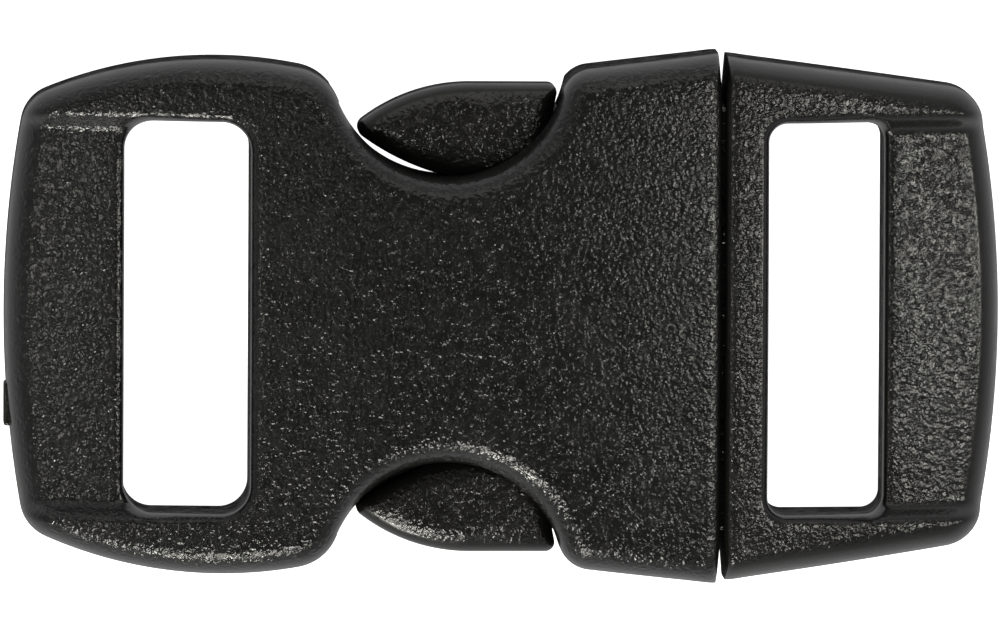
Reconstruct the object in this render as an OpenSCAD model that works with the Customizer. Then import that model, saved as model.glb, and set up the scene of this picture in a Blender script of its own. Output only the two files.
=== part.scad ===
// Contoured side release buckle, shown fastened, for 16 mm webbing.
// X runs along the strap towards the plug, Y across it and Z up.
// The origin is under the middle of the buckle, which rests on its two ends.

/* [Whole buckle] */
// Length over both ends
buckle_l = 43; // [41:0.5:46]
// Thickness at the middle
mid_t = 6.8; // [6.6:0.1:7.6]
// Thickness of the side rails at the two ends
end_t = 4.6; // [4.2:0.1:5]
// Rise of the underside at the middle
bow_h = 1.6; // [1.2:0.1:2]
// Radius of both ends, seen from above
end_bow_r = 48; // [42:1:70]
// Radius of the four outer corners
corner_r = 1.8; // [1.4:0.1:2.2]

/* [Rounded edges] */
// Width of the rounding along the top edge, seen from above
top_round_w = 1.1; // [0.8:0.05:1.2]
// Height of the rounding along the top edge
top_round_h = 1.7; // [1.2:0.1:1.9]
// Rounding along the bottom edge
foot_round = 0.8; // [0.5:0.05:0.9]

/* [Strap slots] */
// Length of both slots: the webbing's width with a little play
slot_l = 16.9; // [16.4:0.1:17.2]
// Gap of the socket's slot, along the strap
socket_slot_w = 5.4; // [4.8:0.05:5.6]
// Gap of the plug's slot, along the strap
plug_slot_w = 5.05; // [4.6:0.05:5.3]
// Corner radius of the socket's slot
socket_slot_r = 1.25; // [0.9:0.05:1.5]
// Corner radius of the plug's slot
plug_slot_r = 0.8; // [0.5:0.05:1.1]
// Width of the socket's end bar
socket_bar_w = 5.15; // [4.8:0.05:5.6]
// Width of the plug's end bar
plug_bar_w = 5.1; // [4.8:0.05:5.6]
// Depth of both end bars below the rails
bar_drop = 0.9; // [0.6:0.05:1.1]
// Width of the slope from a rail down to its bar
bar_slope_w = 0.9; // [0.5:0.05:1.2]
// Where that slope starts, beyond the slot's ends
bar_rim = 0.4; // [0.2:0.05:0.5]
// Share of a slot over which its bar's trough fades out
bar_fade = 0.7; // [0.5:0.05:0.9]

/* [Socket] */
// Rail beside the slot, where the socket's tail is widest
rail_w = 2.65; // [2.5:0.05:2.9]
// Distance of that widest place from the socket's end
crest_back = 9.1; // [8.5:0.1:10]
// Radius of the tail's two sides
side_bow_r = 19; // [18:0.5:22]
// Half of the mouth's width beyond the slot's end
mouth_rail_w = 3; // [2.85:0.05:3.25]
// Angle of the sides that widen towards the mouth
flare_a = 6.2; // [4:0.2:7]
// Radius of the two finger notches
notch_r = 5.07; // [4.9:0.01:5.3]
// Depth of the notches from the tail's widest place
notch_depth = 4.93; // [4.75:0.02:5.1]
// How far the floor stays back from the edge of the notches
notch_relief = 0.14; // [0.1:0.02:0.4]
// Rounding where the tail meets a notch
tail_round = 2.2; // [1.6:0.05:2.5]
// Rounding where a notch meets the mouth's side
shoulder_round = 1.45; // [1.2:0.05:1.6]
// Length of the side wall that the prongs latch behind
latch_l = 7.05; // [6.8:0.05:7.3]
// Thickness of the side walls at the mouth
side_wall_t = 2.1; // [1.9:0.05:2.3]
// Height of the flat cavity
cavity_h = 3.9; // [3.6:0.05:3.95]
// Height of the cavity's floor above the surface below
cavity_z = 2.5; // [2.4:0.05:2.6]
// Wall between the cavity and the strap slot
back_wall_t = 1.5; // [1.2:0.1:2]
// Thickness of the two guide ribs
rib_t = 0.8; // [0.6:0.05:1]
// Distance of the ribs' front ends from the mouth
rib_back = 4.5; // [4:0.1:5.5]
// Moulding gate's stub on the socket's end: length across the strap
gate_l = 1.9; // [1.5:0.1:2.2]
// Gate stub: thickness
gate_t = 1.6; // [1.2:0.1:1.8]
// Gate stub: distance from the middle of the end
gate_y = 4; // [3:0.1:5]

/* [Plug] */
// Rail beside the slot at the plug's face
plug_rail_w = 2.86; // [2.7:0.02:3]
// Rail beside the slot, carried on to the plug's end
plug_end_rail_w = 1.3; // [1.15:0.05:1.5]
// Bar between the plug's face and its slot
collar_w = 1.9; // [1.7:0.05:2.2]
// Length of the block that enters the mouth
spigot_l = 0.9; // [0.6:0.1:1.4]
// Thickness of the two springy arms
arm_t = 1.5; // [1.2:0.05:1.7]
// Height of the arms
arm_h = 1.9; // [1.6:0.1:3.2]
// Widening of the arms at their roots
arm_root = 0.8; // [0.4:0.05:1]
// Reach of the heads beyond the arms, which latches the buckle
barb_h = 1; // [0.9:0.05:1.2]
// How much further back the barbs reach at their outer corners
barb_lean = 0.2; // [0:0.05:0.3]
// Radius of the heads' outer curve
head_bow_r = 7.7; // [7.2:0.1:8.2]
// Radius of the heads' inner curve
head_in_r = 10.3; // [9:0.1:12]
// Direction from the notch's centre to that curve's centre
head_lean = 64; // [60:1:70]
// Rounding of the heads' tips
tip_round = 0.45; // [0.3:0.05:0.6]
// Straight stretch of the heads' outer edge
head_flat_l = 3.8; // [3.4:0.1:4]
// Height of the heads' outer rim
head_rim_h = 1.7; // [1.2:0.1:2]
// Width of the flat guide tongue
tongue_w = 5.1; // [4.6:0.1:5.6]
// Thickness of the guide tongue
tongue_t = 2; // [1.6:0.1:2.4]
// Reach of the tongue beyond the plug's face
tongue_l = 13; // [11:0.2:14]

/* [Clearances] */
// Gap between the mouth and the plug's face
seat_gap = 0.15; // [0.1:0.05:0.3]
// Gap round what slides into the cavity
slide_gap = 0.25; // [0.2:0.01:0.3]
// Gap between the heads and the edge of their notch
head_gap = 0.2; // [0.12:0.02:0.28]
// Gap behind the heads, where they latch
latch_gap = 0.13; // [0.1:0.01:0.2]

/* [Hidden] */

// A side drawn as nearly straight is an arc of this radius
straight_r = 600;
// How far a cutter runs past what it cuts
over = 1;
// Half of the flat strip that closes an end's bow on the centre line
nose_y = 1;
// How far the gate stub and the arms run into what carries them
root = 0.6;

half_l = buckle_l / 2;
plug_face_x = half_l - plug_bar_w - plug_slot_w - collar_w;
mouth_x = plug_face_x - seat_gap;
latch_x = mouth_x - latch_l;
slot_y = slot_l / 2;
crest_y = slot_y + rail_w;
mouth_y = slot_y + mouth_rail_w;
crest_x = crest_back - half_l;

// Places across the strap of what slides into the cavity
cavity_y = mouth_y - side_wall_t;
arm_y = cavity_y - slide_gap;
head_y = arm_y + barb_h;
rib_y = tongue_w / 2 + slide_gap;

cavity_x = socket_bar_w + socket_slot_w + back_wall_t - half_l;
slide_z = cavity_z + slide_gap;
slide_h = cavity_h - 2 * slide_gap;
slide_mid_z = cavity_z + cavity_h / 2;

function sag(r, reach) = r - sqrt(r * r - reach * reach);
function ang(from, to) = atan2(to.y - from.y, to.x - from.x);

// Crossing of two circles, on the left (side 1) or right (side -1) of the line between them
function meet(c1, r1, c2, r2, side) =
    let (d = norm(c2 - c1), u = (c2 - c1) / d, a = (r1 * r1 - r2 * r2 + d * d) / (2 * d))
    c1 + a * u + side * sqrt(r1 * r1 - a * a) * [-u.y, u.x];

// Points of an arc with their outward normals: [x, y, normal x, normal y]
function arc(c, r, a0, a1, n, out = 1) = [
    for (i = [0 : n])
        let (a = a0 + (a1 - a0) * i / n)
        [c.x + r * cos(a), c.y + r * sin(a), out * cos(a), out * sin(a)]
];
function tail(list) = [for (i = [1 : len(list) - 1]) list[i]];

// Share from 0 to 1 of the way from a to b, with soft ends
function ease(a, b, v) = let (t = max(0, min(1, (v - a) / (b - a)))) t * t * (3 - 2 * t);

// Top and underside are shallow domes whose level lines follow the bowed ends
top_z0 = bow_h + mid_t;
top_r = (half_l * half_l + pow(top_z0 - end_t, 2)) / (2 * (top_z0 - end_t));
foot_x = half_l - foot_round;
foot_r = (foot_x * foot_x + bow_h * bow_h) / (2 * bow_h);
function reach(x, y) = sqrt(x * x + y * y * half_l / end_bow_r);
function dome_z(x, y) = top_z0 - sag(top_r, reach(x, y));
function foot_z(x, y) = bow_h - sag(foot_r, reach(x, y));

// Each end bar lies in a trough between its rails, which fades out along its slot
rim_y = slot_y + bar_rim;
bar_y = rim_y - bar_slope_w;
socket_fade = [-half_l + socket_bar_w, -half_l + socket_bar_w + bar_fade * socket_slot_w];
plug_fade = [half_l - plug_bar_w, half_l - plug_bar_w - bar_fade * plug_slot_w];
function trough(x, y) =
    ease(rim_y, bar_y, abs(y)) *
    (1 - ease(socket_fade[0], socket_fade[1], x) * ease(plug_fade[0], plug_fade[1], x));
function top_z(x, y) = dome_z(x, y) - bar_drop * trough(x, y);

// Angles of the rounded bottom and top edges, from flat to upright and back
foot_turns = [90, 55, 25, 0];
top_turns = [0, 18, 36, 54, 72, 90];
// Places across the top that have points: the head, middle and foot of the slope, or these
// shares of the way out where the body is narrower, and two places on the bar
slope_shares = [0.95, 0.89, 0.83];
bar_shares = [0.5, 0.17];
function top_marks(y) = concat(
    [for (i = [0 : 2]) min(rim_y + (bar_y - rim_y) * i / 2, slope_shares[i] * y)],
    bar_shares * y
);
foot_shares = [-0.5, 0.5];

// One point of an edge: the outline's point p moved in and up or down
function foot_point(p, turn) =
    let (in = foot_round * (1 - cos(turn)), x = p[0] - p[2] * in, y = p[1] - p[3] * in)
    [x, y, foot_z(x, y) + foot_round * (1 - sin(turn))];
function top_point(p, turn) =
    let (in = top_round_w * (1 - cos(turn)), x = p[0] - p[2] * in, y = p[1] - p[3] * in)
    [x, y, top_z(x, y) - top_round_h * (1 - sin(turn))];
function flip(points) = [for (p = points) [p.x, -p.y, p.z]];
function back(list) = [for (i = [len(list) - 1 : -1 : 0]) list[i]];

// Closed ring through the outline's point p and its mirror image
function ring(p) =
    let (
        edge = concat([for (t = foot_turns) foot_point(p, t)], [for (t = top_turns) top_point(p, t)]),
        lid = edge[len(edge) - 1],
        sole = edge[0]
    )
    concat(
        edge,
        [for (y = top_marks(lid.y)) [lid.x, y, top_z(lid.x, y)]],
        back([for (y = top_marks(lid.y)) [lid.x, -y, top_z(lid.x, y)]]),
        back(flip(edge)),
        [for (s = foot_shares) [sole.x, sole.y * s, foot_z(sole.x, sole.y * s)]]
    );

// Flat end of a shell, as strips between the two halves of its ring
function end_strips(first, m) = [
    for (i = [0 : m / 2 - 2])
        let (a = first + i, b = first + m - 1 - i)
        [a, a + 1, b - 1, b]
];

// Moulded body between its rounded top and bottom edges; outline runs from low x to high x
module shell(outline) {
    rings = [for (p = outline) ring(p)];
    n = len(rings);
    m = len(rings[0]);
    // The rings turn by this many points so that a strip joins mirrored points
    turn = len(foot_shares) / 2;
    turned = [for (r = rings) [for (i = [0 : m - 1]) r[(i + m - turn) % m]]];
    sides = [
        for (i = [0 : n - 2], j = [0 : m - 1])
            let (a = i * m + j, b = i * m + (j + 1) % m)
            each [[b, a, a + m], [b + m, b, a + m]]
    ];
    polyhedron(
        [for (r = turned) each r],
        concat(
            sides,
            end_strips(0, m),
            [for (f = end_strips((n - 1) * m, m)) back(f)]
        )
    );
}

// Outline of the socket's upper half
end_c = [end_bow_r - half_l, 0];
side_c = [crest_x, crest_y - side_bow_r];
notch_y = crest_y - notch_depth + notch_r;
notch_x = latch_x - sqrt(notch_r * notch_r - pow(notch_y - cavity_y, 2));
notch_c = [notch_x, notch_y];
flare_c = [mouth_x + straight_r * sin(flare_a), mouth_y - straight_r * cos(flare_a)];
corner_c = meet(side_c, side_bow_r - corner_r, end_c, end_bow_r - corner_r, 1);
tail_c = meet(side_c, side_bow_r - tail_round, notch_c, notch_r + tail_round, 1);
shoulder_c = meet(flare_c, straight_r - shoulder_round, notch_c, notch_r + shoulder_round, -1);
mouth_end_a = 90 + flare_a - over / straight_r * 180 / PI;

socket_outline = concat(
    arc(end_c, end_bow_r, 180 - asin(nose_y / end_bow_r), ang(end_c, corner_c), 6),
    tail(arc(corner_c, corner_r, ang(end_c, corner_c), ang(side_c, corner_c), 5)),
    tail(arc(side_c, side_bow_r, ang(side_c, corner_c), ang(side_c, tail_c), 8)),
    tail(arc(tail_c, tail_round, ang(side_c, tail_c), ang(tail_c, notch_c), 6)),
    tail(arc(notch_c, notch_r, ang(notch_c, tail_c), ang(notch_c, shoulder_c), 18, -1)),
    tail(arc(shoulder_c, shoulder_round, ang(shoulder_c, notch_c), ang(flare_c, shoulder_c), 6)),
    tail(arc(flare_c, straight_r, ang(flare_c, shoulder_c), mouth_end_a, 3))
);

// Outline of the plug's upper half
plug_y = slot_y + plug_rail_w;
taper_a = atan((plug_rail_w - plug_end_rail_w) / (half_l - plug_face_x));
plug_side_c = [plug_face_x - straight_r * sin(taper_a), plug_y - straight_r * cos(taper_a)];
plug_end_c = [half_l - end_bow_r, 0];
plug_corner_c =
    meet(plug_side_c, straight_r - corner_r, plug_end_c, end_bow_r - corner_r, -1);
plug_start_a = 90 - taper_a + over / straight_r * 180 / PI;

plug_outline = concat(
    arc(plug_side_c, straight_r, plug_start_a, ang(plug_side_c, plug_corner_c), 7),
    tail(arc(plug_corner_c, corner_r, ang(plug_side_c, plug_corner_c), ang(plug_end_c, plug_corner_c), 5)),
    tail(arc(plug_end_c, end_bow_r, ang(plug_end_c, plug_corner_c), asin(nose_y / end_bow_r), 6))
);

// Strap slot that starts at x, cut straight through
module strap_slot(x, w, r) {
    translate([x, -slot_y, -over])
        linear_extrude(top_z0 + 2 * over) {
            translate([r, 0]) square([w - 2 * r, slot_l]);
            translate([0, r]) square([w, slot_l - 2 * r]);
            for (cx = [r, w - r], cy = [r, slot_l - r])
                translate([cx, cy]) circle(r, $fn = 48);
        }
}

// Gate stub left by moulding, no further out than the end's middle
module gate_stub() {
    translate([-half_l, -gate_y - gate_l / 2, end_t / 2 - gate_t])
        cube([sag(end_bow_r, gate_y) + root, gate_l, gate_t]);
}

module cavity() {
    difference() {
        translate([cavity_x, -cavity_y, cavity_z])
            cube([mouth_x + 3 * over - cavity_x, 2 * cavity_y, cavity_h]);
        for (side = [-1, 1])
            translate([
                cavity_x - over, side * (rib_y + rib_t / 2) - rib_t / 2, cavity_z - over
            ])
                cube([mouth_x - rib_back - cavity_x + over, rib_t, cavity_h + 2 * over]);
    }
}

// Cuts the floor back round the notches
module notch_reliefs() {
    for (side = [-1, 1])
        translate([notch_x, side * notch_y, -over])
            cylinder(h = over + cavity_z + cavity_h / 2, r = notch_r + notch_relief, $fn = 96);
}

module socket() {
    color([0.09, 0.09, 0.09]) {
        difference() {
            shell(socket_outline);
            notch_reliefs();
            translate([mouth_x, -2 * mouth_y, -over])
                cube([3 * over, 4 * mouth_y, top_z0 + 2 * over]);
            strap_slot(socket_bar_w - half_l, socket_slot_w, socket_slot_r);
            cavity();
        }
        gate_stub();
    }
}

// Outline of the head on the +Y side, from its tip round the outer edge and back
barb_c = [latch_x - latch_gap, arm_y];
head_c = [barb_c.x + barb_lean, head_y];
head_side_c = [head_c.x - head_flat_l, head_y - head_bow_r];
// The inner curve comes nearest to the notch's edge beside the tip, then runs in under the body
head_in_c = notch_c + (head_in_r - notch_r + head_gap) * [cos(head_lean), sin(head_lean)];
tip_c = meet(head_side_c, head_bow_r - tip_round, head_in_c, head_in_r - tip_round, 1);
arm_in_y = arm_y - arm_t;
head_rear_a = -acos((barb_c.x - head_in_c.x) / head_in_r);
head_outline = concat(
    arc(head_side_c, head_bow_r, ang(head_side_c, tip_c), 90, 8),
    [head_c, barb_c],
    arc(head_in_c, head_in_r, head_rear_a, ang(head_in_c, tip_c), 10),
    tail(arc(tip_c, tip_round, ang(head_in_c, tip_c), ang(head_side_c, tip_c) - 360, 5))
);
head_mid = [head_side_c.x, (head_y + head_in_c.y - head_in_r) / 2];
// How a head swells from its rim to its middle: [share of the way out, share of the height]
head_swell = [[1, 0], [0.97, 0.32], [0.9, 0.58], [0.78, 0.8], [0.6, 0.94], [0.35, 1]];

// Cushion-shaped press head
module head() {
    // The outline's last point is its first again
    rim = [for (i = [0 : len(head_outline) - 2]) head_outline[i]];
    n = len(rim);
    rise = (slide_h - head_rim_h) / 2;
    function level(s, dir) = [
        for (p = rim) [
            head_mid.x + (p[0] - head_mid.x) * s[0],
            head_mid.y + (p[1] - head_mid.y) * s[0],
            slide_mid_z + dir * (head_rim_h / 2 + rise * s[1])
        ]
    ];
    levels = concat(
        [for (s = back(head_swell)) level(s, -1)],
        [for (s = head_swell) level(s, 1)]
    );
    k = len(levels);
    polyhedron(
        concat([for (l = levels) each l],
            [[head_mid.x, head_mid.y, slide_z], [head_mid.x, head_mid.y, slide_z + slide_h]]),
        concat(
            [for (i = [0 : k - 2], j = [0 : n - 1])
                let (a = i * n + j, b = i * n + (j + 1) % n)
                each [[a, b, a + n], [b, b + n, a + n]]],
            [for (j = [0 : n - 1]) [(j + 1) % n, j, k * n]],
            [for (j = [0 : n - 1]) [(k - 1) * n + j, (k - 1) * n + (j + 1) % n, k * n + 1]]
        )
    );
}

// Springy arm on the +Y side, thicker at its root
module arm() {
    base_x = plug_face_x - spigot_l;
    translate([0, 0, slide_mid_z - arm_h / 2])
        linear_extrude(arm_h)
        polygon([
            [base_x + root, arm_y], [barb_c.x - root, arm_y], [barb_c.x - root, arm_in_y],
            [base_x - 3 * arm_root, arm_in_y], [base_x + root, arm_in_y - arm_root]
        ]);
}

module tongue() {
    tip_cut = tongue_t / 2;
    tip_x = plug_face_x - tongue_l;
    translate([0, 0, slide_mid_z - tongue_t / 2])
        linear_extrude(tongue_t)
        polygon([
            [plug_face_x + root, -tongue_w / 2], [plug_face_x + root, tongue_w / 2],
            [tip_x + tip_cut, tongue_w / 2], [tip_x, tongue_w / 2 - tip_cut],
            [tip_x, tip_cut - tongue_w / 2], [tip_x + tip_cut, -tongue_w / 2]
        ]);
}

module plug() {
    color([0.11, 0.11, 0.11]) {
        difference() {
            shell(plug_outline);
            translate([plug_face_x - 3 * over, -2 * plug_y, -over])
                cube([3 * over, 4 * plug_y, top_z0 + 2 * over]);
            strap_slot(plug_face_x + collar_w, plug_slot_w, plug_slot_r);
        }
        translate([plug_face_x - spigot_l, -arm_y, slide_z])
            cube([spigot_l + root, 2 * arm_y, slide_h]);
        tongue();
        for (side = [0, 1])
            mirror([0, side, 0]) {
                arm();
                head();
            }
    }
}

socket();
plug();
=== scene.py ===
import math

import bmesh
import bpy
import numpy as np
from mathutils import Matrix, Vector, geometry


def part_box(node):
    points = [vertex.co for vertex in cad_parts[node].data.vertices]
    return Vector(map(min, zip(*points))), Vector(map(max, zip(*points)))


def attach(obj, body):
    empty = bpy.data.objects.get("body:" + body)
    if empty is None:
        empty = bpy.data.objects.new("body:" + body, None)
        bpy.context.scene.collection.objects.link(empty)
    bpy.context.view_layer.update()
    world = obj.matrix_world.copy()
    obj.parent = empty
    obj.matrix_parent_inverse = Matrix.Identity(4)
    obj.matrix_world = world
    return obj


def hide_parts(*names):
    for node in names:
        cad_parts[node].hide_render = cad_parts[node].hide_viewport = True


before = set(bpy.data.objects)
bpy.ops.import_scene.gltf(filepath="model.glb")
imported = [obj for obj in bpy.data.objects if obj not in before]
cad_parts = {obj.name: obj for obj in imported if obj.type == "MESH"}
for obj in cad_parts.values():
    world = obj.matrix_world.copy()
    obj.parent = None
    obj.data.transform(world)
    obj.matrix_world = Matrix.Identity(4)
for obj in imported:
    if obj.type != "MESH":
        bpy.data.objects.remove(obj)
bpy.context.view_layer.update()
mm = 0.001

# The frame's own boxes, in millimetres
socketLow, socketHigh = [[value / mm for value in corner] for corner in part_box("socket")]
plugLow, plugHigh = [[value / mm for value in corner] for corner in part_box("plug")]

# What both halves share
body = {
    "topHeight": socketHigh[2],  # highest point of the domed top
    "endThickness": 4.6,  # rails at the two ends
    "bowRise": 1.6,  # underside's rise at the middle
    "endRadius": 48.0,  # bowed ends, seen from above
    "cornerRound": 1.8,
    "edgeWidth": 1.1,  # rounding along the top edge
    "edgeHeight": 1.7,
    "footRound": 0.8,
    "slotHalf": 8.45,  # half of a strap slot's length
    "rimWidth": 0.45,  # rounding of the slots' rims
    "rimHeight": 0.6,
    "faceWidth": 0.5,  # rounding where the two halves meet
    "faceHeight": 0.6,
    "faceSplay": 0.12,  # how far each of these faces falls back at the sides
    "splayStart": 9.2,  # from this far out
    "splayReach": 1.5,  # and over this length behind the face
    "barDrop": 0.9,  # depth of the end bars below their rails
    "barRim": 0.4,  # the slope up to a rail ends this far outside the slot
    "barSlope": 0.9,  # and is this wide
    "barFade": 0.7,  # share of the slot over which the bar's trough fades out
    "straightRadius": 600.0,  # sides that look straight are slightly bowed
}
halfLength = -socketLow[0]

# How finely the pieces are divided
mesh = {
    "pitch": 0.25,  # between points on the broad faces
    "rowShare": 0.87,  # rows of these points are this share of the pitch apart
    "clearShare": 0.45,  # and stay this share of it off the rings along the edges
    "slopePitch": 0.12,  # between rows across the bars' slopes
    "slopeMargin": 0.35,  # how far such rows go on beyond a slope
    "headPitch": 0.16,  # between rows across the press heads
    "arcPitch": 0.2,
    "arcTurn": 7.0,  # most degrees between two points of a fillet
    "lastShare": 0.6,  # least gap before the face's columns, as a share of the arc pitch
    "closest": 0.045,  # points of one ring are no nearer than this
    "closestColumn": 0.0001,  # the same along a straight side
    "ringSlack": 0.004,  # how much nearer to the outline a ring's point may lie
    "edgeSteps": 9,  # rings over the rounded top edge
    "rimSteps": 6,  # rings over the slots' rims, and columns over the face's rounding
    "headSteps": 8,  # rings over the rounding of the press heads
    "reliefSides": 120,
    "bevelSegments": 3,
    "weld": 0.0001,  # points nearer than this are one
    "sharpAngle": 32.0,  # edges that turn more stay sharp
}


# Outlines, as stations: x, y, outward normal, and whether an inset keeps x

def arc(centre, radius, start, end, outward=1):
    length = abs(math.radians(end - start)) * radius
    steps = max(2, math.ceil(length / mesh["arcPitch"]), math.ceil(abs(end - start) / mesh["arcTurn"]))
    stations = []
    for step in range(steps + 1):
        angle = math.radians(start + (end - start) * step / steps)
        nx, ny = math.cos(angle), math.sin(angle)
        x, y = centre[0] + radius * nx, centre[1] + radius * ny
        stations.append((x, y, outward * nx, outward * ny, False))
    return stations


def direction(start, end):
    return math.degrees(math.atan2(end[1] - start[1], end[0] - start[0]))


# Crossing of two circles, on the left (side 1) or right (side -1) of the line between them
def meet(centreA, radiusA, centreB, radiusB, side):
    dx, dy = centreB[0] - centreA[0], centreB[1] - centreA[1]
    gap = math.hypot(dx, dy)
    along = (radiusA ** 2 - radiusB ** 2 + gap ** 2) / (2 * gap)
    across = side * math.sqrt(radiusA ** 2 - along ** 2)
    return (
        centreA[0] + (along * dx - across * dy) / gap,
        centreA[1] + (along * dy + across * dx) / gap,
    )


# Distances across a rounding that turn its profile in equal steps
def roundingInsets(width, steps):
    return [width * (1 - math.cos(math.pi / 2 * step / steps)) for step in range(steps + 1)]


# Columns over the rounding of a flat face, which close up towards it
def faceColumns(faceX):
    backs = sorted(roundingInsets(body["faceWidth"], mesh["rimSteps"]), reverse=True)
    return [faceX - back for back in backs]


# Nearly straight side from station x to the flat face
def straightSide(centre, startX, faceX):
    closing = faceColumns(faceX)
    last = closing[0] - mesh["lastShare"] * mesh["arcPitch"]
    stations = []
    for x in [*np.arange(startX, last, mesh["arcPitch"]), *closing]:
        nx = (x - centre[0]) / body["straightRadius"]
        ny = math.sqrt(1 - nx * nx)
        stations.append((x, centre[1] + body["straightRadius"] * ny, nx, ny, True))
    return stations


def mirrored(stations):
    return [(x, -y, nx, -ny, keep) for x, y, nx, ny, keep in reversed(stations)]


# Point of a station moved in by a distance
def inset(station, distance):
    x, y, nx, ny, keepX = station
    if keepX:
        return (x, y - distance / ny)
    return (x - nx * distance, y - ny * distance)


# Rounded rectangle, with outward normals seen from the body: they point into the hole
def slotStations(lowX, highX, halfY, radius):
    stations = []
    corners = [(highX - radius, halfY - radius, 0), (lowX + radius, halfY - radius, 90),
               (lowX + radius, radius - halfY, 180), (highX - radius, radius - halfY, 270)]
    for index, (x, y, start) in enumerate(corners):
        turn = arc((x, y), radius, start, start + 90)
        following = corners[(index + 1) % 4]
        side = math.hypot(following[0] - x, following[1] - y)
        steps = math.ceil(side / mesh["arcPitch"])
        last = turn[-1]
        turn += [
            (last[0] + (following[0] - x) * step / steps, last[1] + (following[1] - y) * step / steps,
             last[2], last[3], False)
            for step in range(1, steps)
        ]
        stations += [(px, py, -nx, -ny, keep) for px, py, nx, ny, keep in turn]
    return stations


# Distance of each point to a closed or open chain of points
def distanceTo(points, chain, closed):
    chain = np.array(chain, float)
    starts, ends = (chain, np.roll(chain, -1, axis=0)) if closed else (chain[:-1], chain[1:])
    best = np.full(len(points), 1e9)
    for start, end in zip(starts, ends):
        along = end - start
        size = along @ along
        if size < 1e-12:
            continue
        share = np.clip(((points - start) @ along) / size, 0, 1)
        gap = points - start - share[:, None] * along
        best = np.minimum(best, np.einsum("ij,ij->i", gap, gap))
    return np.sqrt(best)


def insideOf(points, chain):
    chain = np.array(chain, float)
    inside = np.zeros(len(points), bool)
    for (ax, ay), (bx, by) in zip(chain, np.roll(chain, -1, axis=0)):
        if ay == by:
            continue
        crosses = (ay > points[:, 1]) != (by > points[:, 1])
        reachX = ax + (points[:, 1] - ay) * (bx - ax) / (by - ay)
        inside ^= crosses & (points[:, 0] < reachX)
    return inside


# Flat blank of triangles between an outline and a hole, with the distance to each edge as an attribute.
# Unless the outline is closed, its last stretch is the flat face, which counts as no edge.
def flatBlank(name, outline, edgeInsets, hole=(), holeInsets=(), columns=(), rows=(), closed=False):
    points, edgeGap, slotGap, chains = [], [], [], []
    far = 10.0  # more than any rounding reaches
    edgeChain = [station[:2] for station in outline]
    holeChain = [station[:2] for station in hole]

    def addRing(stations, distance, isHole):
        ring = []
        for station in stations:
            point = inset(station, distance)
            step = math.dist(point, points[ring[-1]]) if ring else far
            if distance > 0 and step < mesh["closestColumn" if station[4] else "closest"]:
                continue
            ring.append(len(points))
            points.append(point)
            edgeGap.append(far if isHole else distance)
            slotGap.append(distance if isHole else far)
        return ring

    outlineRing = addRing(outline, 0, False)
    chains.append(outlineRing + [outlineRing[0]])
    for distance in edgeInsets[1:]:
        start = len(points)
        ring = addRing(outline, distance, False)
        tried = np.array([points[i] for i in ring])
        # A ring keeps only what is truly that far from the whole outline
        inPlace = distanceTo(tried, edgeChain, closed) > distance - mesh["ringSlack"]
        kept = [old for old, good in zip(ring, inPlace) if good]
        remap = {old: start + new for new, old in enumerate(kept)}
        points[start:] = [points[i] for i in kept]
        edgeGap[start:] = [distance] * len(kept)
        slotGap[start:] = [far] * len(kept)
        run = []
        for old in ring + [None]:
            if old in remap:
                run.append(remap[old])
                continue
            if len(run) > 1:
                chains.append(run)
            run = []
    for distance in holeInsets:
        ring = addRing(hole, distance, True)
        chains.append(ring + [ring[0]])

    # Broad faces: staggered rows, and straight columns by the flat face
    lowX, highX = min(p[0] for p in edgeChain), max(p[0] for p in edgeChain)
    columnLow = min(columns) if columns else highX
    grid = []
    for index, y in enumerate(rows):
        shift = mesh["pitch"] / 2 * (index % 2)
        across = np.arange(lowX + shift, columnLow - mesh["pitch"] / 2, mesh["pitch"])
        grid += [(x, y) for x in (*across, *columns)]
    grid = np.array(grid)
    clear = insideOf(grid, edgeChain) | np.isin(grid[:, 0], columns)
    margin = mesh["clearShare"] * mesh["pitch"]
    clear &= distanceTo(grid, edgeChain, closed) > max(edgeInsets) + margin
    if hole:
        clear &= ~insideOf(grid, holeChain)
        clear &= distanceTo(grid, holeChain, True) > max(holeInsets) + margin
    for point in grid[clear]:
        points.append(tuple(point))
        edgeGap.append(far)
        slotGap.append(far)

    edges = [pair for chain in chains for pair in zip(chain[:-1], chain[1:])]
    made = geometry.delaunay_2d_cdt([Vector(p) for p in points], edges, [], 0, 1e-6)
    flat = np.array([tuple(v) for v in made[0]])
    triangles = np.array(made[2])
    source = [ids[0] if ids else -1 for ids in made[3]]
    middles = flat[triangles].mean(axis=1)
    keep = insideOf(middles, edgeChain)
    if hole:
        keep &= ~insideOf(middles, holeChain)
    triangles = triangles[keep]
    print("  blank", name, len(points), "points,", len(triangles), "triangles,", source.count(-1), "added")
    data = bpy.data.meshes.new(name)
    data.from_pydata([(x * mm, y * mm, 0) for x, y in flat], [], triangles.tolist())
    for label, values in (("edgeGap", edgeGap), ("slotGap", slotGap)):
        gaps = [values[i] if i >= 0 else 0 for i in source]
        layer = data.attributes.new(label, "FLOAT", "POINT")
        layer.data.foreach_set("value", [gap * mm for gap in gaps])
    data.update()
    piece = bpy.data.objects.new(name, data)
    bpy.context.collection.objects.link(piece)
    return piece


# Rows across the body, closer together over the slopes of the end bars
def crossRows(halfY):
    rows, y = [], 0.0
    slopeLow = body["slotHalf"] + body["barRim"] - body["barSlope"] - mesh["slopeMargin"]
    slopeHigh = body["slotHalf"] + body["barRim"] + mesh["slopeMargin"]
    while y < halfY:
        rows.append(y)
        y += mesh["slopePitch"] if slopeLow < y < slopeHigh else mesh["pitch"] * mesh["rowShare"]
    return [-y for y in reversed(rows[1:])] + rows


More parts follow.
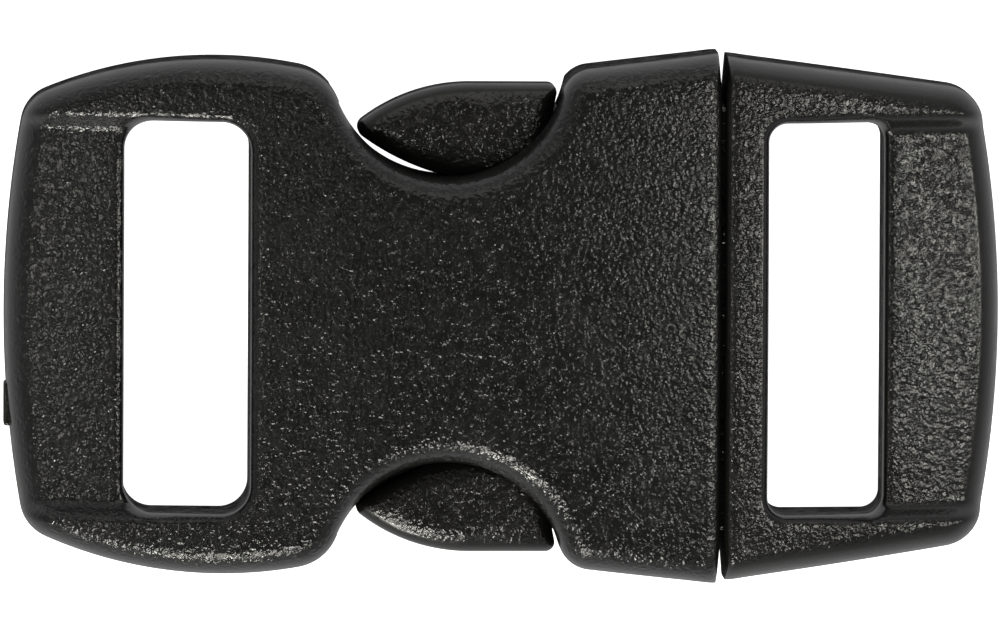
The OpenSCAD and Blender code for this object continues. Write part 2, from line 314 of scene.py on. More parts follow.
# Socket's outline from the middle of its end to its mouth, and the same mirrored
socketShape = {
    "slotLow": -halfLength + 5.15,
    "slotHigh": -halfLength + 10.55,
    "slotCorner": 1.25,
    "crestX": 9.1 - halfLength,  # where the sides by the slot are widest
    "crestY": 11.1,
    "sideRadius": 19.0,
    "notchX": -2.454,
    "notchY": 11.24,
    "notchRadius": 5.07,
    "notchRelief": 0.14,  # how far the floor stays back from the notches' edge
    "tailRound": 2.2,  # between a side and its notch
    "shoulderRound": 1.45,  # between a notch and the mouth's side
    "flareAngle": 6.2,  # how much the sides open at the mouth
    "mouthX": socketHigh[0],
    "mouthY": socketHigh[1],
    "cavityLow": -9.45,
    "cavityHalf": 9.35,
    "cavityFloor": 2.5,
    "cavityHeight": 3.9,
    "cavityRound": 0.15,
    "cavityPast": 2.0,  # how far its cutter runs out of the mouth
    "reliefLow": -1.0,  # and the notches' cutters start below the underside
    "ribCount": 2,
    "ribThickness": 0.8,
    "ribSpacing": 6.4,
    "ribEnd": 4.8,
    "ribBack": 0.5,  # how far the ribs reach into the cavity's back wall
    "ribBite": 0.2,  # and into its floor and ceiling
    "gateLength": 1.9,
    "gateThickness": 1.6,
    "gateDepth": 0.8,  # most of which is inside the bowed end
    "gateRound": 0.12,
    "gateY": -4.0,
}


def socketOutline(s):
    end = (body["endRadius"] - halfLength, 0)
    side = (s["crestX"], s["crestY"] - s["sideRadius"])
    notch = (s["notchX"], s["notchY"])
    flareTurn = math.radians(s["flareAngle"])
    flare = (s["mouthX"] + body["straightRadius"] * math.sin(flareTurn),
             s["mouthY"] - body["straightRadius"] * math.cos(flareTurn))
    corner = meet(side, s["sideRadius"] - body["cornerRound"], end,
                  body["endRadius"] - body["cornerRound"], 1)
    tail = meet(side, s["sideRadius"] - s["tailRound"], notch, s["notchRadius"] + s["tailRound"], 1)
    shoulder = meet(flare, body["straightRadius"] - s["shoulderRound"], notch,
                    s["notchRadius"] + s["shoulderRound"], -1)
    upper = arc(end, body["endRadius"], 180, direction(end, corner))
    upper += arc(corner, body["cornerRound"], direction(end, corner), direction(side, corner))[1:]
    upper += arc(side, s["sideRadius"], direction(side, corner), direction(side, tail))[1:]
    upper += arc(tail, s["tailRound"], direction(side, tail), direction(tail, notch))[1:]
    upper += arc(notch, s["notchRadius"], direction(notch, tail), direction(notch, shoulder), -1)[1:]
    upper += arc(shoulder, s["shoulderRound"], direction(shoulder, notch), direction(flare, shoulder))[1:]
    upper += straightSide(flare, upper[-1][0] + mesh["arcPitch"], s["mouthX"])
    return mirrored(upper[1:]) + upper


# Plug's outline, drawn with its face on the right like the socket's and turned round later
plugShape = {
    "slotLow": -plugHigh[0] + 5.1,
    "slotHigh": -plugHigh[0] + 10.15,
    "slotCorner": 0.8,
    "faceX": -9.45,
    "faceY": plugHigh[1],
    "endRail": 9.75,  # half of the width at the end
    "spigotLength": 0.9,  # block that enters the mouth
    "spigotHalf": 9.1,
    "spigotRound": 0.15,
    "spigotSink": 0.6,  # how far it reaches into the body
    "slideFloor": 2.75,  # underside and height of all that slides into the cavity
    "slideHeight": 3.4,
    "rootSink": 0.4,  # how far the arms and the tongue reach into the spigot
    "armOuter": 9.1,
    "armInner": 7.6,
    "armRoot": 0.8,  # how much thicker an arm is at its root
    "rootTaper": 3.0,  # length of that taper for each mm of it
    "armHeight": 1.9,
    "armRound": 0.2,
    "tongueHalf": 2.55,
    "tongueHeight": 2.0,
    "tongueEnd": -3.55,
}


def plugOutline(s):
    faceX = s["faceX"]
    taper = math.atan((s["faceY"] - s["endRail"]) / (halfLength + faceX))
    side = (faceX + body["straightRadius"] * math.sin(taper),
            s["faceY"] - body["straightRadius"] * math.cos(taper))
    end = (body["endRadius"] - halfLength, 0)
    corner = meet(side, body["straightRadius"] - body["cornerRound"], end,
                  body["endRadius"] - body["cornerRound"], 1)
    upper = arc(end, body["endRadius"], 180, direction(end, corner))
    upper += arc(corner, body["cornerRound"], direction(end, corner), direction(side, corner))[1:]
    upper += straightSide(side, upper[-1][0] + mesh["arcPitch"], faceX)
    return mirrored(upper[1:]) + upper


# Node tree helpers

def nodeTree(name, inputs):
    tree = bpy.data.node_groups.new(name, "GeometryNodeTree")
    tree.interface.new_socket("Geometry", in_out="INPUT", socket_type="NodeSocketGeometry")
    for label, kind in inputs:
        tree.interface.new_socket(label, in_out="INPUT", socket_type=kind)
    tree.interface.new_socket("Geometry", in_out="OUTPUT", socket_type="NodeSocketGeometry")
    return tree, tree.nodes.new("NodeGroupInput"), tree.nodes.new("NodeGroupOutput")


# Adds a node, with links or plain values on its named or numbered inputs
def add(tree, kind, inputs=(), **settings):
    node = tree.nodes.new(kind)
    for key, value in settings.items():
        setattr(node, key, value)
    for key, value in dict(inputs).items():
        if isinstance(value, bpy.types.NodeSocket):
            tree.links.new(value, node.inputs[key])
        else:
            node.inputs[key].default_value = value
    return node


def calc(tree, operation, *values):
    return add(tree, "ShaderNodeMath", dict(enumerate(values)), operation=operation).outputs[0]


# Fall of a rounded edge of that width and height, at a distance from the edge
def roundedFall(tree, distance, width, height):
    left = calc(tree, "SUBTRACT", 1, calc(tree, "MINIMUM", 1, calc(tree, "DIVIDE", distance, width)))
    inner = calc(tree, "SUBTRACT", 1, calc(tree, "MULTIPLY", left, left))
    rise = calc(tree, "SQRT", calc(tree, "MAXIMUM", 0, inner))
    return calc(tree, "MULTIPLY", height, calc(tree, "SUBTRACT", 1, rise))


# Sag of a dome of that radius at the square of a reach
def domeSag(tree, radius, reachSquared):
    inner = calc(tree, "SUBTRACT", calc(tree, "MULTIPLY", radius, radius), reachSquared)
    return calc(tree, "SUBTRACT", radius, calc(tree, "SQRT", inner))


def eased(tree, value, start, end):
    inputs = {"Value": value, "From Min": start, "From Max": end}
    return add(tree, "ShaderNodeMapRange", inputs, interpolation_type="SMOOTHSTEP").outputs["Result"]


def gapAttribute(tree, label):
    return add(tree, "GeometryNodeInputNamedAttribute", {"Name": label}).outputs["Attribute"]


def joined(tree, *shapes):
    join = add(tree, "GeometryNodeJoinGeometry")
    for shape in shapes:
        tree.links.new(shape, join.inputs["Geometry"])
    return join.outputs["Geometry"]


# Ends a tree with a plain mesh that has its material
def endTree(tree, shape, material, result):
    real = add(tree, "GeometryNodeRealizeInstances", {"Geometry": shape})
    painted = add(tree, "GeometryNodeSetMaterial",
                  {"Geometry": real.outputs["Geometry"], "Material": material})
    tree.links.new(painted.outputs["Geometry"], result.inputs["Geometry"])
    return tree


# Makes a closed solid between two heights from a flat blank
def liftBothSides(tree, flat, x, y, topHeight, footHeight):
    def raised(shape, height, chosen=None):
        place = add(tree, "ShaderNodeCombineXYZ", {"X": x, "Y": y, "Z": height})
        inputs = {"Geometry": shape, "Position": place.outputs[0]}
        if chosen is not None:
            inputs["Selection"] = chosen
        return add(tree, "GeometryNodeSetPosition", inputs).outputs["Geometry"]

    pulled = add(tree, "GeometryNodeExtrudeMesh", {"Mesh": flat, "Offset Scale": 0.0, "Individual": False})
    lid = raised(pulled.outputs["Mesh"], topHeight, pulled.outputs["Top"])
    below = calc(tree, "SUBTRACT", 1, pulled.outputs["Top"])
    walls = raised(lid, footHeight, below)
    sole = raised(add(tree, "GeometryNodeFlipFaces", {"Mesh": flat}).outputs["Mesh"], footHeight)
    inputs = {"Geometry": joined(tree, walls, sole), "Distance": mesh["weld"] * mm}
    return add(tree, "GeometryNodeMergeByDistance", inputs).outputs["Geometry"]


# Domed body with rounded edges, slot rims and face, and a sunk end bar
def contourTree():
    lengths = ["Top Height", "Top Radius", "Foot Rise", "Foot Radius", "Edge Width", "Edge Height",
               "Foot Round", "Rim Width", "Rim Height", "Face X", "Face Width", "Face Height",
               "Face Splay", "Splay Start", "Splay End", "Splay Reach", "Bar Drop", "Bar Rim Y",
               "Bar Inner Y", "Bar Edge X", "Bar Fade X"]
    inputs = [(label, "NodeSocketFloat") for label in lengths]
    inputs += [("Width Share", "NodeSocketFloat"), ("Material", "NodeSocketMaterial")]
    tree, given, result = nodeTree("contour", inputs)
    size = given.outputs
    xyz = add(tree, "ShaderNodeSeparateXYZ", {0: add(tree, "GeometryNodeInputPosition").outputs[0]})
    x, y = xyz.outputs["X"], xyz.outputs["Y"]
    widthPart = calc(tree, "MULTIPLY", calc(tree, "MULTIPLY", y, y), size["Width Share"])
    reachSquared = calc(tree, "ADD", calc(tree, "MULTIPLY", x, x), widthPart)
    edgeGap, slotGap = gapAttribute(tree, "edgeGap"), gapAttribute(tree, "slotGap")
    faceGap = calc(tree, "SUBTRACT", size["Face X"], x)

    across = eased(tree, calc(tree, "ABSOLUTE", y), size["Bar Rim Y"], size["Bar Inner Y"])
    along = calc(tree, "SUBTRACT", 1, eased(tree, x, size["Bar Edge X"], size["Bar Fade X"]))
    trough = calc(tree, "MULTIPLY", size["Bar Drop"], calc(tree, "MULTIPLY", across, along))

    slotFall = roundedFall(tree, slotGap, size["Rim Width"], size["Rim Height"])
    faceFall = roundedFall(tree, faceGap, size["Face Width"], size["Face Height"])
    rims = calc(tree, "ADD", slotFall, faceFall)
    edgeFall = roundedFall(tree, edgeGap, size["Edge Width"], size["Edge Height"])
    top = calc(tree, "SUBTRACT", size["Top Height"], domeSag(tree, size["Top Radius"], reachSquared))
    for fall in (trough, edgeFall, rims):
        top = calc(tree, "SUBTRACT", top, fall)
    footFall = roundedFall(tree, edgeGap, size["Foot Round"], size["Foot Round"])
    foot = calc(tree, "SUBTRACT", size["Foot Rise"], domeSag(tree, size["Foot Radius"], reachSquared))
    foot = calc(tree, "ADD", calc(tree, "ADD", foot, footFall), rims)
    # Towards the sides the face falls back a little
    near = eased(tree, faceGap, size["Splay Reach"], 0.0)
    aside = eased(tree, calc(tree, "ABSOLUTE", y), size["Splay Start"], size["Splay End"])
    splay = calc(tree, "MULTIPLY", size["Face Splay"], calc(tree, "MULTIPLY", near, aside))
    shape = liftBothSides(tree, size["Geometry"], calc(tree, "SUBTRACT", x, splay), y, top, foot)
    return endTree(tree, shape, size["Material"], result)


# Cushion-shaped head, and its mirror image on the other side
def cushionTree():
    lengths = ["Middle Height", "Rim Height", "Full Height", "Edge Width", "Crown", "Crown X", "Crown Reach"]
    inputs = [(label, "NodeSocketFloat") for label in lengths] + [("Material", "NodeSocketMaterial")]
    tree, given, result = nodeTree("cushion", inputs)
    size = given.outputs
    xyz = add(tree, "ShaderNodeSeparateXYZ", {0: add(tree, "GeometryNodeInputPosition").outputs[0]})
    halfRise = calc(tree, "MULTIPLY", 0.5, calc(tree, "SUBTRACT", size["Full Height"], size["Rim Height"]))
    fall = roundedFall(tree, gapAttribute(tree, "edgeGap"), size["Edge Width"], halfRise)
    aside = calc(tree, "SUBTRACT", xyz.outputs["X"], size["Crown X"])
    away = calc(tree, "DIVIDE", aside, size["Crown Reach"])
    crown = calc(tree, "MULTIPLY", size["Crown"], calc(tree, "MULTIPLY", away, away))
    full = calc(tree, "MULTIPLY", 0.5, size["Full Height"])
    half = calc(tree, "SUBTRACT", full, calc(tree, "ADD", fall, crown))
    top = calc(tree, "ADD", size["Middle Height"], half)
    foot = calc(tree, "SUBTRACT", size["Middle Height"], half)
    head = liftBothSides(tree, size["Geometry"], xyz.outputs["X"], xyz.outputs["Y"], top, foot)
    turned = add(tree, "GeometryNodeTransform", {"Geometry": head, "Scale": (1, -1, 1)})
    other = add(tree, "GeometryNodeFlipFaces", {"Mesh": turned.outputs["Geometry"]})
    return endTree(tree, joined(tree, head, other.outputs["Mesh"]), size["Material"], result)


# Guide ribs standing in a row across the cavity
def ribTree():
    inputs = [("Length", "NodeSocketFloat"), ("Thickness", "NodeSocketFloat"), ("Height", "NodeSocketFloat"),
              ("Spacing", "NodeSocketFloat"), ("Centre", "NodeSocketVector"), ("Count", "NodeSocketInt"),
              ("Material", "NodeSocketMaterial")]
    tree, given, result = nodeTree("guideRibs", inputs)
    size = given.outputs
    rib = add(tree, "GeometryNodeMeshCube", {"Size": add(tree, "ShaderNodeCombineXYZ", {
        "X": size["Length"], "Y": size["Thickness"], "Z": size["Height"]}).outputs[0]})
    step = add(tree, "ShaderNodeCombineXYZ", {"Y": size["Spacing"]})
    line = add(tree, "GeometryNodeMeshLine",
               {"Count": size["Count"], "Start Location": size["Centre"], "Offset": step.outputs[0]})
    row = add(tree, "GeometryNodeInstanceOnPoints",
              {"Points": line.outputs["Mesh"], "Instance": rib.outputs["Mesh"]})
    return endTree(tree, row.outputs["Instances"], size["Material"], result)


# Runs a tree on an object with named values, and leaves a plain mesh
def grow(piece, tree, values):
    modifier = piece.modifiers.new("shape", "NODES")
    modifier.node_group = tree
    for socket in tree.interface.items_tree:
        if socket.item_type == "SOCKET" and socket.in_out == "INPUT" and socket.name in values:
            modifier[socket.identifier] = values[socket.name]
    return baked(piece)


def baked(piece):
    bpy.context.view_layer.update()
    seen = piece.evaluated_get(bpy.context.evaluated_depsgraph_get())
    old = piece.data
    fresh = bpy.data.meshes.new_from_object(seen)
    piece.modifiers.clear()
    piece.data = fresh
    bpy.data.meshes.remove(old)
    return piece


# Joins or cuts, and drops the tool
def combine(piece, tool, operation):
    modifier = piece.modifiers.new("cut", "BOOLEAN")
    modifier.operation = operation
    modifier.solver = "MANIFOLD"
    modifier.object = tool
    before = len(piece.data.polygons)
    baked(piece)
    print("  ", operation.lower(), tool.name, before, "to", len(piece.data.polygons), "faces")
    data = tool.data
    bpy.data.objects.remove(tool)
    bpy.data.meshes.remove(data)
    return piece


# Upright block over a flat polygon, with its edges rounded
def block(name, corners, low, high, rounding=0.0):
    shape = bmesh.new()
    foot = [shape.verts.new((x * mm, y * mm, low * mm)) for x, y in corners]
    lid = [shape.verts.new((x * mm, y * mm, high * mm)) for x, y in corners]
    shape.faces.new(list(reversed(foot)))
    shape.faces.new(lid)
    for index in range(len(corners)):
        following = (index + 1) % len(corners)
        shape.faces.new([foot[index], foot[following], lid[following], lid[index]])
    bmesh.ops.recalc_face_normals(shape, faces=shape.faces)
    if rounding:
        bmesh.ops.bevel(shape, geom=shape.edges[:], offset=rounding * mm, profile=0.5,
                        segments=mesh["bevelSegments"], affect="EDGES")
    data = bpy.data.meshes.new(name)
    shape.to_mesh(data)
    shape.free()
    piece = bpy.data.objects.new(name, data)
    bpy.context.collection.objects.link(piece)
    return piece


def rectangle(lowX, highX, lowY, highY):
    return [(lowX, lowY), (highX, lowY), (highX, highY), (lowX, highY)]


# Merges doubles, points the faces outwards and shades smooth up to an angle
def finished(piece, name, material):
    shape = bmesh.new()
    shape.from_mesh(piece.data)
    bmesh.ops.remove_doubles(shape, verts=shape.verts, dist=2 * mesh["weld"] * mm)
    bmesh.ops.dissolve_degenerate(shape, dist=mesh["weld"] * mm, edges=shape.edges)
    bmesh.ops.recalc_face_normals(shape, faces=shape.faces)
    openEdges = sum(1 for edge in shape.edges if not edge.is_manifold)
    shape.to_mesh(piece.data)
    shape.free()
    for polygon in piece.data.polygons:
        polygon.use_smooth = True
        polygon.material_index = 0
    piece.data.set_sharp_from_angle(angle=math.radians(mesh["sharpAngle"]))
    piece.data.materials.clear()
    piece.data.materials.append(material)
    piece.name = name
    piece.data.name = name
    triangles = sum(len(polygon.vertices) - 2 for polygon in piece.data.polygons)
    print("  ", name, triangles, "triangles,", openEdges, "open edges")
    return piece


# Black acetal with the mould's fine spark grain
socketFinish = {
    "colour": 0.0055,  # grey of the plastic itself
    "colourSpread": 0.25,  # how much it drifts, as a share
    "driftScale": 260.0,  # drifts in a metre
    "driftBand": (0.3, 0.7),  # part of the drift's noise that counts
    "warmth": 1.0,  # red over blue
    "refraction": 1.48,
    "roughness": (0.16, 0.26),
    "glossShare": 0.35,  # fineness of the gloss, as a share of the grain's
    "glossBand": (0.35, 0.65),
    "grainPitch": 0.2,  # between the grain's bumps
    "grainDepth": 0.077,
    "patches": (0.55, 1.45),  # share of that depth where it is quiet and where it is rough
    "patchShare": 0.8,  # fineness of these patches, as a share of the grain's
    "patchBand": (0.42, 0.68),
    "grained": (0.35, 0.85),  # upward part of the normal, from smooth to fully grained
    "sideGrain": 0.1,
}
# The plug is the same plastic from another mould
plugFinish = {
    **socketFinish,
    "colour": 0.006,
    "warmth": 1.03,
    "grainDepth": 0.085,
    "grained": (0.8, 0.95),
}


def noise(tree, place, scale, detail):
    inputs = {"Vector": place, "Scale": scale, "Detail": detail}
    return add(tree, "ShaderNodeTexNoise", inputs).outputs["Fac"]


# Spreads one band of a value over another
def spread(tree, value, band, result):
    inputs = {"Value": value, "From Min": band[0], "From Max": band[1],
              "To Min": result[0], "To Max": result[1]}
    return add(tree, "ShaderNodeMapRange", inputs).outputs["Result"]


def grainedPlastic(name, look):
    material = bpy.data.materials.new(name)
    material.use_nodes = True
    tree = material.node_tree
    tree.nodes.clear()
    spot = add(tree, "ShaderNodeTexCoord")
    place = spot.outputs["Object"]
    shader = add(tree, "ShaderNodeBsdfPrincipled", {"IOR": look["refraction"]})
    output = add(tree, "ShaderNodeOutputMaterial")
    tree.links.new(shader.outputs[0], output.inputs["Surface"])

    # Broad drift of the black
    ramp = add(tree, "ShaderNodeValToRGB", {"Fac": noise(tree, place, look["driftScale"], detail=3.0)})
    shares = (1 - look["colourSpread"], 1 + look["colourSpread"])
    for stop, position, share in zip(ramp.color_ramp.elements, look["driftBand"], shares):
        grey = look["colour"] * share
        stop.position = position
        stop.color = (grey * look["warmth"], grey, grey / look["warmth"], 1)
    tree.links.new(ramp.outputs["Color"], shader.inputs["Base Color"])

    # Fine grain that is rougher in patches
    cells = 1 / (look["grainPitch"] * mm)
    centred = calc(tree, "SUBTRACT", noise(tree, place, cells, detail=1.0), 0.5)
    patch = noise(tree, place, cells * look["patchShare"], detail=0.0)
    height = calc(tree, "MULTIPLY", centred, spread(tree, patch, look["patchBand"], look["patches"]))
    # The mould is grained on its broad faces and smooth on its steep sides
    upright = add(tree, "ShaderNodeSeparateXYZ", {0: spot.outputs["Normal"]}).outputs["Z"]
    flatness = eased(tree, calc(tree, "ABSOLUTE", upright), *look["grained"])
    strength = calc(tree, "ADD", look["sideGrain"], calc(tree, "MULTIPLY", 1 - look["sideGrain"], flatness))
    grain = add(tree, "ShaderNodeBump", {"Height": height, "Distance": look["grainDepth"] * mm,
                                         "Strength": strength})
    tree.links.new(grain.outputs["Normal"], shader.inputs["Normal"])

    gloss = noise(tree, place, cells * look["glossShare"], detail=2.0)
    tree.links.new(spread(tree, gloss, look["glossBand"], look["roughness"]), shader.inputs["Roughness"])
    return material


def contourValues(s, faceX, faceY, material):
    sink = body["topHeight"] - body["endThickness"]
    footReach = halfLength - body["footRound"]
    barEdge = s["slotLow"]
    return {
        "Top Height": body["topHeight"] * mm,
        "Top Radius": (halfLength ** 2 + sink ** 2) / (2 * sink) * mm,
        "Foot Rise": body["bowRise"] * mm,
        "Foot Radius": (footReach ** 2 + body["bowRise"] ** 2) / (2 * body["bowRise"]) * mm,
        "Edge Width": body["edgeWidth"] * mm,
        "Edge Height": body["edgeHeight"] * mm,
        "Foot Round": body["footRound"] * mm,
        "Rim Width": body["rimWidth"] * mm,
        "Rim Height": body["rimHeight"] * mm,
        "Face X": faceX * mm,
        "Face Width": body["faceWidth"] * mm,
        "Face Height": body["faceHeight"] * mm,
        "Face Splay": body["faceSplay"] * mm,
        "Splay Start": body["splayStart"] * mm,
        "Splay End": faceY * mm,
        "Splay Reach": body["splayReach"] * mm,
        "Bar Drop": body["barDrop"] * mm,
        "Bar Rim Y": (body["slotHalf"] + body["barRim"]) * mm,
        "Bar Inner Y": (body["slotHalf"] + body["barRim"] - body["barSlope"]) * mm,
        "Bar Edge X": barEdge * mm,
        "Bar Fade X": (barEdge + body["barFade"] * (s["slotHigh"] - s["slotLow"])) * mm,
        "Width Share": halfLength / body["endRadius"],
        "Material": material,
    }


def makeBody(name, s, outline, faceX, faceY, tree, material):
    hole = slotStations(s["slotLow"], s["slotHigh"], body["slotHalf"], s["slotCorner"])
    blank = flatBlank(
        name,
        outline, roundingInsets(body["edgeWidth"], mesh["edgeSteps"]),
        hole, roundingInsets(body["rimWidth"], mesh["rimSteps"]),
        faceColumns(faceX),
        crossRows(max(station[1] for station in outline)),
    )
    return grow(blank, tree, contourValues(s, faceX, faceY, material))


def makeSocket(tree, material):
    s = socketShape
    piece = makeBody("socketBody", s, socketOutline(s), s["mouthX"], s["mouthY"], tree, material)
    floor, ceiling = s["cavityFloor"], s["cavityFloor"] + s["cavityHeight"]
    half = s["cavityHalf"]
    cavity = block("cavity", rectangle(s["cavityLow"], s["mouthX"] + s["cavityPast"], -half, half),
                   floor, ceiling, s["cavityRound"])
    combine(piece, cavity, "DIFFERENCE")
    reach = s["notchRadius"] + s["notchRelief"]
    turns = [math.radians(360 * step / mesh["reliefSides"]) for step in range(mesh["reliefSides"])]
    for side in (-1, 1):
        circle = [(s["notchX"] + reach * math.cos(turn), side * s["notchY"] + reach * math.sin(turn))
                  for turn in turns]
        relief = block("relief", circle, s["reliefLow"], floor + s["cavityHeight"] / 2)
        combine(piece, relief, "DIFFERENCE")

    ribLow = s["cavityLow"] - s["ribBack"]
    # This block only carries the tree, which makes the ribs
    carrier = block("ribs", rectangle(0, 1, 0, 1), 0, 1)
    ribs = grow(carrier, ribTree(), {
        "Length": (s["ribEnd"] - ribLow) * mm,
        "Thickness": s["ribThickness"] * mm,
        "Height": (s["cavityHeight"] + 2 * s["ribBite"]) * mm,
        "Spacing": s["ribSpacing"] * mm,
        "Centre": ((s["ribEnd"] + ribLow) / 2 * mm, -(s["ribCount"] - 1) * s["ribSpacing"] / 2 * mm,
                   (floor + ceiling) / 2 * mm),
        "Count": s["ribCount"],
        "Material": material,
    })
    combine(piece, ribs, "UNION")

    high, half = body["endThickness"] / 2, s["gateLength"] / 2
    gate = block("gate",
                 rectangle(-halfLength, s["gateDepth"] - halfLength, s["gateY"] - half, s["gateY"] + half),
                 high - s["gateThickness"], high, s["gateRound"])
    combine(piece, gate, "UNION")
    return finished(piece, "socketMoulding", material)


# Press heads of the plug; their inner curve is nearest to the notch beside the tip and then runs
# in under the socket
headShape = {
    "rearX": 2.12,
    "rearLean": 0.2,  # how much further back the outer corner is
    "outerY": 10.1,
    "flatLength": 3.8,  # straight stretch in front of that corner
    "outerRadius": 7.7,
    "innerRadius": 10.3,
    "innerGap": 0.2,  # to the notch, where the inner curve is nearest to it
    "innerLean": 64.0,  # direction of the inner curve's centre, seen from the notch's
    "tipRound": 0.45,
    "rearCorner": 0.4,
    "rearCover": 0.6,  # what the head has behind the end of its arm
    "lowestRow": 4.0,  # the blank's rows start below the inner curve
    "rimHeight": 1.7,
    "edgeWidth": 1.15,
    "crown": 0.12,
}


def headOutline(s, notch, notchRadius, armOuter):
    side = (s["rearX"] + s["rearLean"] - s["flatLength"], s["outerY"] - s["outerRadius"])
    lean = math.radians(s["innerLean"])
    away = s["innerRadius"] - notchRadius + s["innerGap"]
    inner = (notch[0] + away * math.cos(lean), notch[1] + away * math.sin(lean))
    tip = meet(side, s["outerRadius"] - s["tipRound"], inner, s["innerRadius"] - s["tipRound"], 1)
    # The barb's rear face leans back towards its rounded outer corner
    slope = s["rearLean"] / (s["outerY"] - armOuter)
    stretch = math.sqrt(1 + slope * slope)
    cornerY = s["outerY"] - s["rearCorner"]
    cornerX = s["rearX"] + slope * (cornerY - armOuter) - stretch * s["rearCorner"]
    rearAngle = -math.degrees(math.acos((s["rearX"] - inner[0]) / s["innerRadius"]))
    rearLow = inner[1] + s["innerRadius"] * math.sin(math.radians(rearAngle))
    stations = arc(side, s["outerRadius"], direction(side, tip), 90)
    stations += arc((cornerX, cornerY), s["rearCorner"], 90, -math.degrees(math.atan(slope)))
    start = stations[-1][1]
    steps = math.ceil((start - rearLow) / mesh["arcPitch"])
    for step in range(1, steps):
        y = start + (rearLow - start) * step / steps
        leaning = max(0, y - armOuter) * slope
        turned = (1 / stretch, -slope / stretch) if leaning else (1, 0)
        stations.append((s["rearX"] + leaning, y, *turned, False))
    stations += arc(inner, s["innerRadius"], rearAngle, direction(inner, tip))
    return stations + arc(tip, s["tipRound"], direction(inner, tip), direction(side, tip) - 360)[1:-1]


def makePlug(tree, material):
    s = plugShape
    piece = makeBody("plugBody", s, plugOutline(s), s["faceX"], s["faceY"], tree, material)
    # The body was drawn facing right; the plug's face looks left
    piece.data.transform(Matrix.Diagonal((-1, 1, 1, 1)))
    piece.data.flip_normals()
    faceX = -s["faceX"]
    low, high = s["slideFloor"], s["slideFloor"] + s["slideHeight"]
    middle = (low + high) / 2
    rootX, half = faceX - s["spigotLength"], s["spigotHalf"]
    spigot = block("spigot", rectangle(rootX, faceX + s["spigotSink"], -half, half),
                   low, high, s["spigotRound"])
    combine(piece, spigot, "UNION")

    startX, endX = rootX + s["rootSink"], s["tongueEnd"]
    half, cut = s["tongueHalf"], s["tongueHeight"] / 2
    corners = [(startX, -half), (startX, half), (endX + cut, half), (endX, half - cut),
               (endX, cut - half), (endX + cut, -half)]
    tongue = block("tongue", corners, middle - cut, middle + cut, s["armRound"])
    combine(piece, tongue, "UNION")

    h = headShape
    outer, inner, endX = s["armOuter"], s["armInner"], h["rearX"] - h["rearCover"]
    half = s["armHeight"] / 2
    for side in (-1, 1):
        corners = [(startX, side * outer), (endX, side * outer), (endX, side * inner),
                   (rootX - s["rootTaper"] * s["armRoot"], side * inner),
                   (startX, side * (inner - s["armRoot"]))]
        arm = block("arm", corners, middle - half, middle + half, s["armRound"])
        combine(piece, arm, "UNION")

    notch = (socketShape["notchX"], socketShape["notchY"])
    outline = headOutline(h, notch, socketShape["notchRadius"], outer)
    lowX, highX = min(p[0] for p in outline), max(p[0] for p in outline)
    headBlank = flatBlank("heads", outline, roundingInsets(h["edgeWidth"], mesh["headSteps"]),
                          rows=np.arange(h["lowestRow"], h["outerY"], mesh["headPitch"]), closed=True)
    heads = grow(headBlank, cushionTree(), {
        "Middle Height": middle * mm,
        "Rim Height": h["rimHeight"] * mm,
        "Full Height": s["slideHeight"] * mm,
        "Edge Width": h["edgeWidth"] * mm,
        "Crown": h["crown"] * mm,
        "Crown X": (lowX + highX) / 2 * mm,
        "Crown Reach": (highX - lowX) / 2 * mm,
        "Material": material,
    })
    combine(piece, heads, "UNION")
    return finished(piece, "plugMoulding", material)


# Camera, floor and lights
view = {
    "target": (-0.194, 0.175, 6.0),  # what the picture's middle shows
    "offset": (-30.0, 58.0),  # how far the camera stands aside of that
    "distance": 850.0,
    "roll": -0.28,
    "pictureWidth": 43.02,  # how much of the target's plane the picture spans
    "sensor": 36.0,
    "nearest": 50.0,  # what is closer isn't drawn
}
# Pale floor that glows a little, so that it comes out white
floorLook = {
    "half": 3000.0,
    "grey": 0.86,
    "roughness": 0.9,
    "glow": 1.1,
}
studio = {
    # Walls all round: sine of the elevation and brightness
    "walls": ((-1.0, 0.0), (-0.987, 0.0), (-0.95, 0.35), (-0.85, 0.55), (-0.5, 0.72), (-0.1, 0.72),
              (0.0, 0.6), (0.12, 0.46), (0.45, 0.42), (0.8, 0.12), (1.0, 0.04)),
    "strength": 1.15,
    "endShade": 0.5,  # how much darker the walls beyond the buckle's ends are
    "lampDistance": 600.0,
    "lampTint": (1.0, 0.985, 0.9),
}
# Name, azimuth, elevation, width, height and power of each lamp
lamps = (
    ("rightLow", 0, 25, 120, 120, 0.35),
    ("rightMid", 0, 50, 140, 140, 0.7),
    ("rightHigh", 5, 68, 80, 80, 0.2),
    ("back", 90, 40, 700, 300, 0.5),
    ("frontLeft", 254, 47, 220, 80, 1.4),
    ("frontLow", 246, 24, 160, 60, 1.5),
    ("leftMid", 180, 50, 120, 120, 0.24),
    ("leftHigh", 180, 75, 100, 100, 0.05),
)


def makeCamera():
    data = bpy.data.cameras.new("camera")
    data.sensor_width = view["sensor"]
    data.lens = view["sensor"] * view["distance"] / view["pictureWidth"]
    data.clip_start = view["nearest"] * mm
    camera = bpy.data.objects.new("camera", data)
    bpy.context.collection.objects.link(camera)
    aside, across = view["offset"]
    back = Vector((aside, across, math.sqrt(view["distance"] ** 2 - aside ** 2 - across ** 2)))
    camera.location = (Vector(view["target"]) + back) * mm
    back.normalize()
    roll = math.radians(view["roll"])
    right = Vector((math.sin(roll), math.cos(roll), 0)).cross(back).normalized()
    up = back.cross(right)
    camera.rotation_euler = Matrix((right, up, back)).transposed().to_euler()
    bpy.context.scene.camera = camera


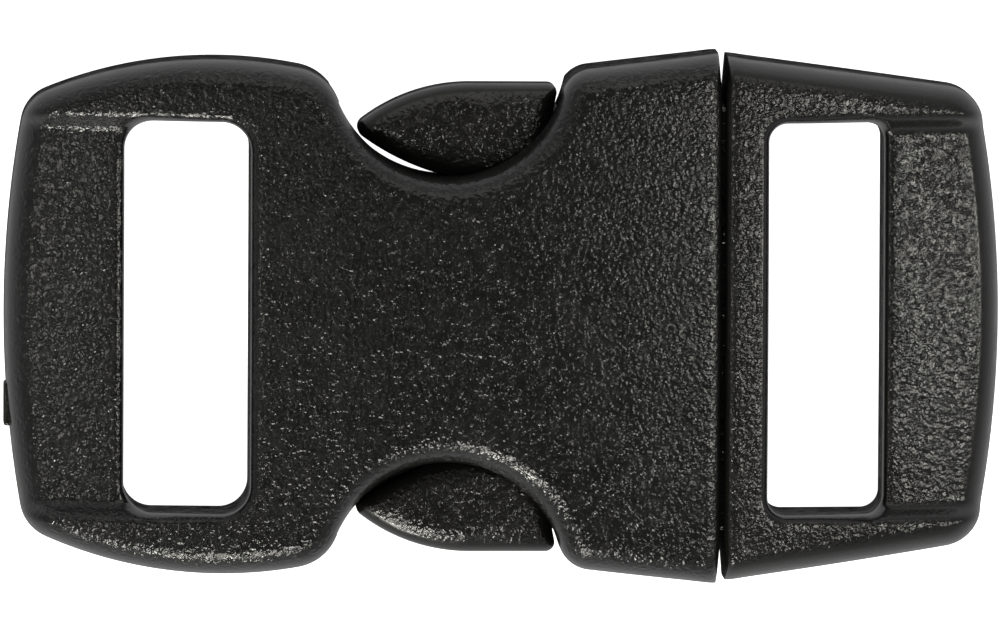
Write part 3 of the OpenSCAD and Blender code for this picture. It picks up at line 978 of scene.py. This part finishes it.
def softLight(name, azimuth, elevation, width, height, power):
    data = bpy.data.lights.new(name, "AREA")
    data.shape = "RECTANGLE"
    data.size, data.size_y = width * mm, height * mm
    data.energy = power
    data.color = studio["lampTint"]
    lamp = bpy.data.objects.new(name, data)
    bpy.context.collection.objects.link(lamp)
    a, e = math.radians(azimuth), math.radians(elevation)
    aim = Vector((math.cos(a) * math.cos(e), math.sin(a) * math.cos(e), math.sin(e)))
    lamp.location = aim * studio["lampDistance"] * mm
    lamp.rotation_euler = (-lamp.location).to_track_quat("-Z", "Y").to_euler()


def makeFloor():
    data = bpy.data.meshes.new("floor")
    half = floorLook["half"] * mm
    data.from_pydata([(x, y, 0) for x, y in rectangle(-half, half, -half, half)], [], [(0, 1, 2, 3)])
    floor = bpy.data.objects.new("floor", data)
    bpy.context.collection.objects.link(floor)
    floor.location.z = min(socketLow[2], plugLow[2]) * mm
    material = bpy.data.materials.new("paleFloor")
    material.use_nodes = True
    shader = material.node_tree.nodes["Principled BSDF"]
    grey = floorLook["grey"]
    shader.inputs["Base Color"].default_value = (grey, grey, grey, 1)
    shader.inputs["Roughness"].default_value = floorLook["roughness"]
    shader.inputs["Emission Color"].default_value = (1, 1, 1, 1)
    shader.inputs["Emission Strength"].default_value = floorLook["glow"]
    data.materials.append(material)
    floor.visible_glossy = False


def makeLights():
    world = bpy.data.worlds.new("studio")
    bpy.context.scene.world = world
    world.use_nodes = True
    tree = world.node_tree
    sky = tree.nodes["Background"]
    spot = add(tree, "ShaderNodeTexCoord")
    aim = add(tree, "ShaderNodeSeparateXYZ", {0: spot.outputs["Generated"]})
    share = calc(tree, "MULTIPLY", 0.5, calc(tree, "ADD", 1, aim.outputs["Z"]))
    ramp = add(tree, "ShaderNodeValToRGB", {"Fac": share})
    stops = ramp.color_ramp.elements
    while len(stops) < len(studio["walls"]):
        stops.new(0.5)
    for stop, (sine, grey) in zip(stops, studio["walls"]):
        stop.position = (1 + sine) / 2
        stop.color = (grey, grey, grey, 1)
    tree.links.new(ramp.outputs["Color"], sky.inputs["Color"])
    endward = calc(tree, "MULTIPLY", aim.outputs["X"], aim.outputs["X"])
    shade = calc(tree, "MULTIPLY", studio["endShade"] * studio["strength"], endward)
    tree.links.new(calc(tree, "SUBTRACT", studio["strength"], shade), sky.inputs["Strength"])
    for lamp in lamps:
        softLight(*lamp)
    bpy.context.scene.view_settings.view_transform = "Standard"


print("materials")
socketPlastic = grainedPlastic("socketPlastic", socketFinish)
plugPlastic = grainedPlastic("plugPlastic", plugFinish)
print("socket")
contour = contourTree()
socket = makeSocket(contour, socketPlastic)
print("plug")
plug = makePlug(contour, plugPlastic)

for piece, node, slot in ((socket, "socket", "socket_plastic"), (plug, "plug", "plug_plastic")):
    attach(piece, "root")
    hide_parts(node)

print("camera, floor and lights")
makeCamera()
makeFloor()
makeLights()

bpy.context.view_layer.update()
